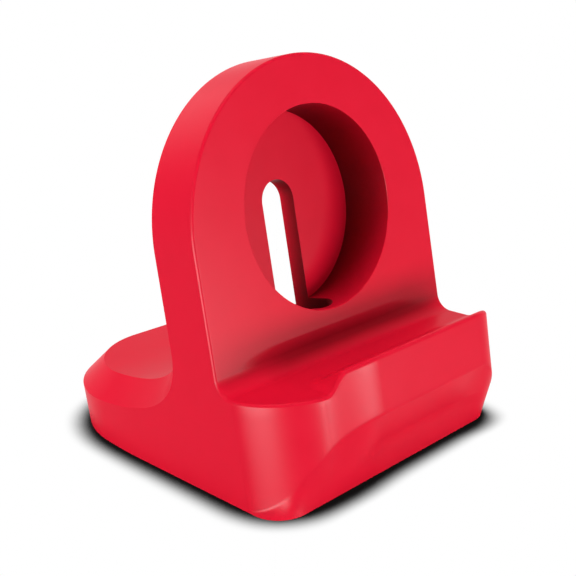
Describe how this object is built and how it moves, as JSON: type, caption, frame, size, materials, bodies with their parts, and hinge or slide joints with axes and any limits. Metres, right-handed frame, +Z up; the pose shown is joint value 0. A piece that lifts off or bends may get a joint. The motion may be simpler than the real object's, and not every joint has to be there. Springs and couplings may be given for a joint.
{
  "type": "smartwatch charging dock",
  "caption": "One-piece smartwatch charging dock: a leaning round-topped column with a round puck recess and a cable slot, on a base with a lipped front tray.",
  "frame": {"origin": "centre of the underside's bounding box, on the surface it stands on", "axes": "+Z up, the front faces -Y, +X to the right seen from the front"},
  "size_m": [0.0458, 0.0518, 0.0537],
  "materials": {
    "silicone": "matte moulded silicone"
  },
  "bodies": {
    "root": {"dock_body": "silicone"}
  },
  "joints": []
}
